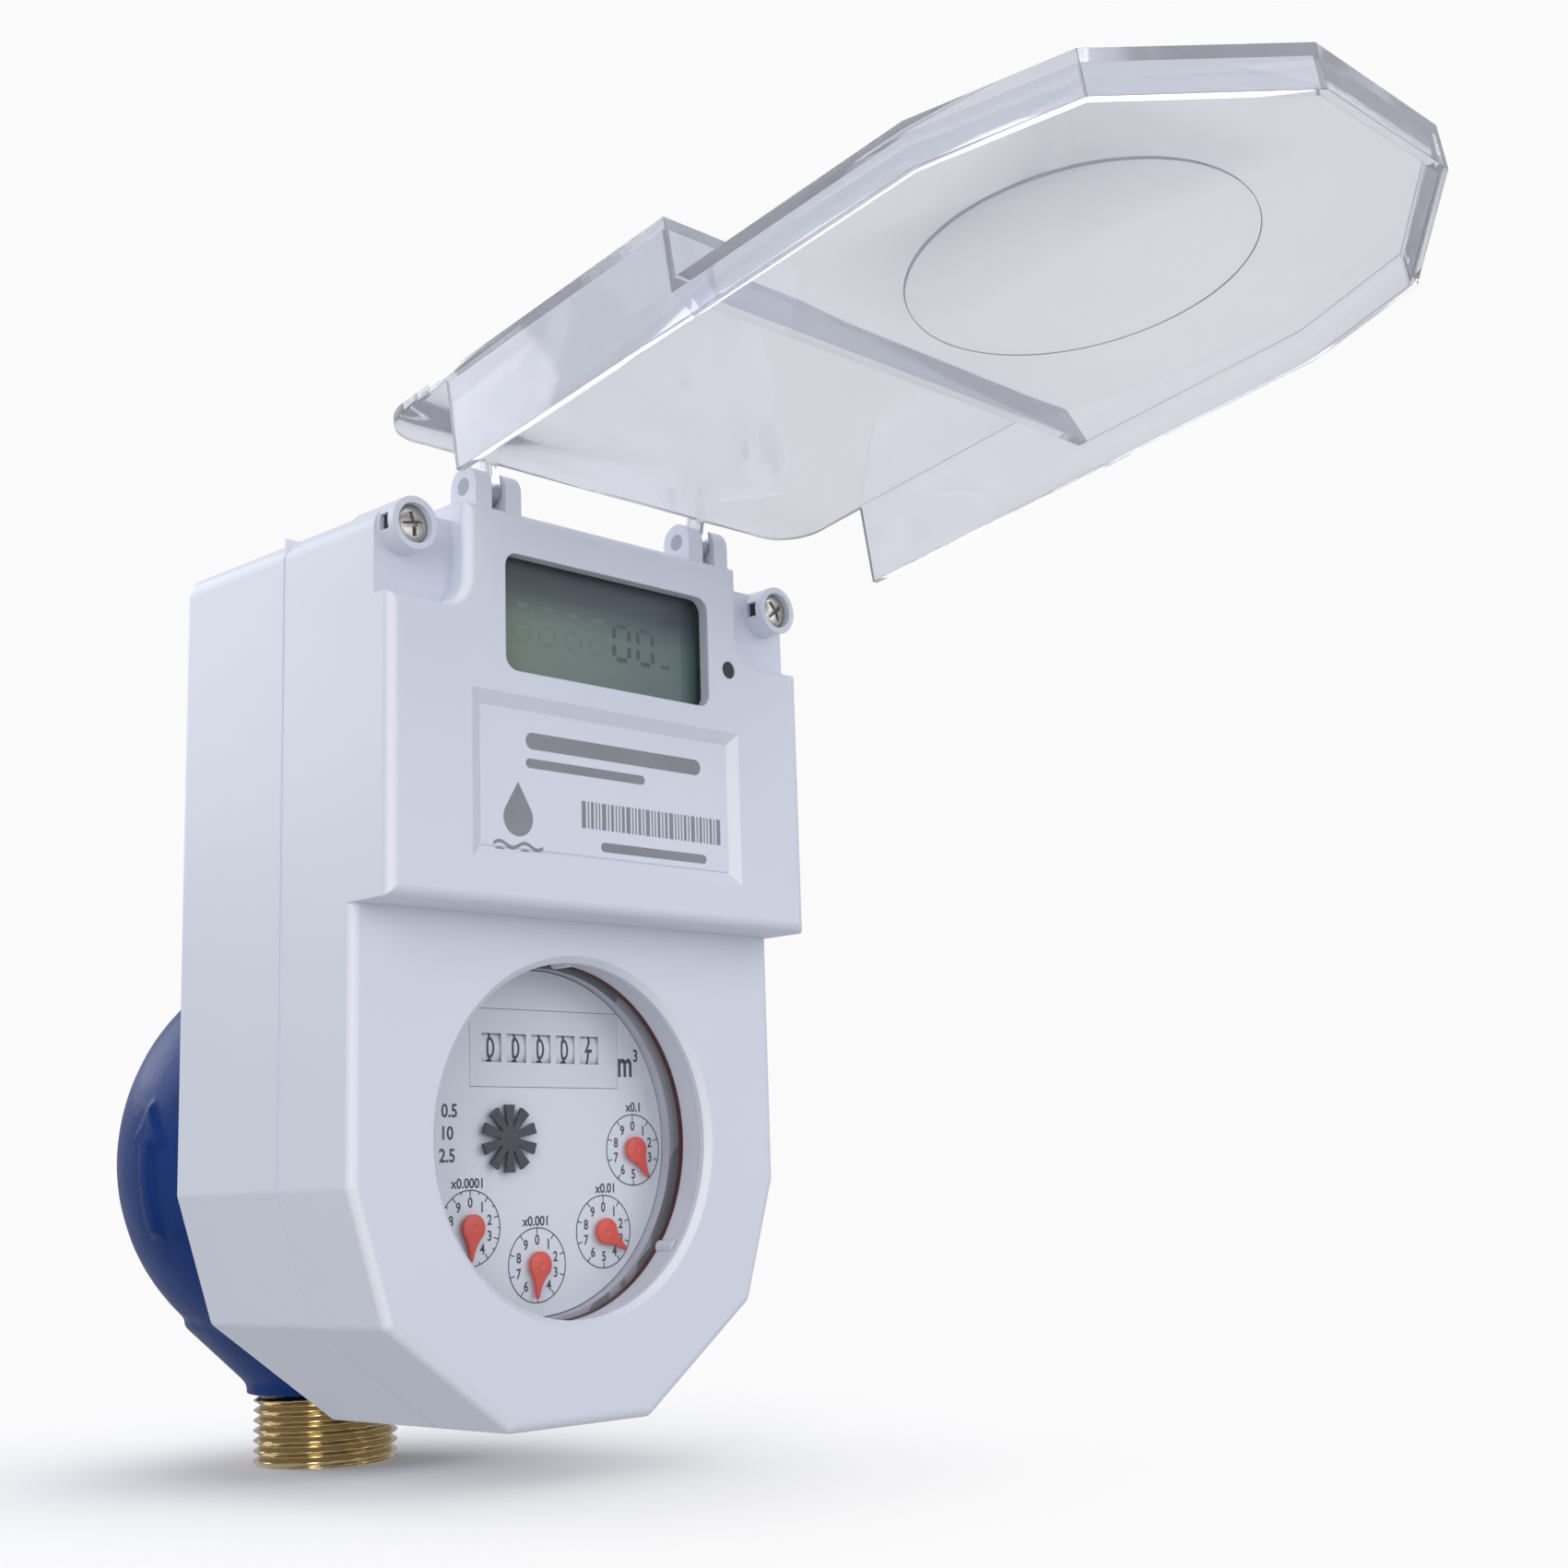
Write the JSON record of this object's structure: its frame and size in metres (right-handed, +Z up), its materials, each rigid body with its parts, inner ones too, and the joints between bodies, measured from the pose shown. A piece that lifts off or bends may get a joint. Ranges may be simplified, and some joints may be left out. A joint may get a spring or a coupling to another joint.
{
  "type": "prepaid water meter",
  "caption": "Prepaid water meter: white housing with a display and a round dial window, a clear hinged lid, and a blue threaded pipe body with a shut-off valve.",
  "frame": {"origin": "centre of the lower pipe end, on the pipe's axis", "axes": "+Z up the pipe in the direction of flow, the dial and lid face -Y, +X to the reader's right"},
  "size_m": [0.0966, 0.2721, 0.1849],
  "materials": {
    "white_abs": "glossy injection-moulded ABS",
    "clear_plastic": "clear moulded polycarbonate",
    "clear_glass": "clear polished",
    "lcd_pane": "clear polished",
    "lcd_glass": "grey-green liquid crystal glass",
    "dark_lens": "dark polished",
    "label_film": "printed film",
    "grey_plastic": "satin",
    "white_plastic": "satin",
    "black_plastic": "satin",
    "dial_white": "printed satin",
    "drum_white": "printed satin",
    "pointer_red": "satin",
    "star_black": "satin",
    "dark_rubber": "matt",
    "brown_rubber": "matt",
    "seam_rubber": "matt",
    "nickel_steel": "nickel plated",
    "stainless": "turned",
    "magnet": "sintered",
    "chrome_ball": "polished",
    "brass": "machined",
    "blue_brass": "cast brass with glossy blue paint, bare machined threads",
    "board_green": "solder mask",
    "cell_sleeve": "shrink sleeve"
  },
  "bodies": {
    "housing": {"battery": "cell_sleeve", "bezel_gasket": "brown_rubber", "bezel_ring": "grey_plastic", "bonnet_nut": "brass", "circuit_board": "board_green", "counter_frame": "white_plastic", "cover_screws": "nickel_steel", "dial_plate": "dial_white", "drum_shaft": "nickel_steel", "front_cover": "white_abs", "head_gasket": "dark_rubber", "head_ring": "brass", "hinge_pins": "grey_plastic", "housing_gasket": "seam_rubber", "inlet_strainer": "white_plastic", "label_plate": "label_film", "lcd_module": "lcd_glass", "lcd_window": "lcd_pane", "light_port": "dark_lens", "measuring_chamber": "black_plastic", "meter_body": "blue_brass", "pressure_plate": "black_plastic", "radio_module": "nickel_steel", "rear_housing": "white_abs", "register_case": "grey_plastic", "register_glass": "clear_glass", "seal_screws": "nickel_steel", "stem_packing": "dark_rubber", "valve_gearmotor": "black_plastic", "valve_retainer": "brass", "valve_seats": "white_plastic"},
    "lid": {"lid": "clear_plastic"},
    "impeller": {"impeller": "white_plastic", "impeller_magnet": "magnet"},
    "register_magnet": {"register_magnet": "magnet"},
    "leak_star": {"leak_star": "star_black"},
    "valve": {"valve_ball": "chrome_ball", "valve_stem": "stainless"},
    "pointer_ten_thousandths": {"pointer_ten_thousandths": "pointer_red"},
    "pointer_thousandths": {"pointer_thousandths": "pointer_red"},
    "pointer_hundredths": {"pointer_hundredths": "pointer_red"},
    "pointer_tenths": {"pointer_tenths": "pointer_red"},
    "number_drum_1": {"number_drum_1": "drum_white"},
    "number_drum_2": {"number_drum_2": "drum_white"},
    "number_drum_3": {"number_drum_3": "drum_white"},
    "number_drum_4": {"number_drum_4": "drum_white"},
    "number_drum_5": {"number_drum_5": "drum_white"}
  },
  "joints": [
    {"name": "lid_hinge", "type": "hinge", "parent": "housing", "child": "lid", "pos_m": [0, -0.0801, 0.1634], "axis": [1, 0, 0], "range_deg": [-60, 99.5]},
    {"name": "impeller_spin", "type": "hinge", "parent": "housing", "child": "impeller", "pos_m": [0, -0.074, 0.0565], "axis": [0, 1, 0], "continuous": true},
    {"name": "magnet_spin", "type": "hinge", "parent": "housing", "child": "register_magnet", "pos_m": [0, -0.074, 0.0565], "axis": [0, 1, 0], "continuous": true},
    {"name": "leak_star_spin", "type": "hinge", "parent": "housing", "child": "leak_star", "pos_m": [-0.00665, -0.074, 0.057], "axis": [0, 1, 0], "continuous": true},
    {"name": "pointer_ten_thousandths_spin", "type": "hinge", "parent": "housing", "child": "pointer_ten_thousandths", "pos_m": [-0.0143, -0.074, 0.0423], "axis": [0, 1, 0], "continuous": true},
    {"name": "pointer_thousandths_spin", "type": "hinge", "parent": "housing", "child": "pointer_thousandths", "pos_m": [0, -0.074, 0.0357], "axis": [0, 1, 0], "continuous": true},
    {"name": "pointer_hundredths_spin", "type": "hinge", "parent": "housing", "child": "pointer_hundredths", "pos_m": [0.0151, -0.074, 0.0408], "axis": [0, 1, 0], "continuous": true},
    {"name": "pointer_tenths_spin", "type": "hinge", "parent": "housing", "child": "pointer_tenths", "pos_m": [0.0224, -0.074, 0.0549], "axis": [0, 1, 0], "continuous": true},
    {"name": "number_drum_5_turn", "type": "hinge", "parent": "housing", "child": "number_drum_5", "pos_m": [0, -0.0558, 0.0724], "axis": [1, 0, 0], "continuous": true},
    {"name": "number_drum_4_turn", "type": "hinge", "parent": "housing", "child": "number_drum_4", "pos_m": [0, -0.0558, 0.0724], "axis": [1, 0, 0], "continuous": true},
    {"name": "number_drum_3_turn", "type": "hinge", "parent": "housing", "child": "number_drum_3", "pos_m": [0, -0.0558, 0.0724], "axis": [1, 0, 0], "continuous": true},
    {"name": "number_drum_2_turn", "type": "hinge", "parent": "housing", "child": "number_drum_2", "pos_m": [0, -0.0558, 0.0724], "axis": [1, 0, 0], "continuous": true},
    {"name": "number_drum_1_turn", "type": "hinge", "parent": "housing", "child": "number_drum_1", "pos_m": [0, -0.0558, 0.0724], "axis": [1, 0, 0], "continuous": true},
    {"name": "valve_turn", "type": "hinge", "parent": "housing", "child": "valve", "pos_m": [0, 0, 0.12], "axis": [0, 1, 0], "range_deg": [0, 90]}
  ],
  "couplings": [
    {"joint": "magnet_spin", "follows": "impeller_spin", "ratio": 1},
    {"joint": "leak_star_spin", "follows": "impeller_spin", "ratio": -0.25},
    {"joint": "pointer_ten_thousandths_spin", "follows": "impeller_spin", "ratio": 0.033333},
    {"joint": "pointer_thousandths_spin", "follows": "impeller_spin", "ratio": 0.0033333},
    {"joint": "pointer_hundredths_spin", "follows": "impeller_spin", "ratio": 0.00033333},
    {"joint": "pointer_tenths_spin", "follows": "impeller_spin", "ratio": 0.000033333},
    {"joint": "number_drum_5_turn", "follows": "impeller_spin", "ratio": 0.0000033333},
    {"joint": "number_drum_4_turn", "follows": "impeller_spin", "ratio": 0.00000033333},
    {"joint": "number_drum_3_turn", "follows": "impeller_spin", "ratio": 0.000000033333},
    {"joint": "number_drum_2_turn", "follows": "impeller_spin", "ratio": 0.0000000033333},
    {"joint": "number_drum_1_turn", "follows": "impeller_spin", "ratio": 0.00000000033333}
  ]
}
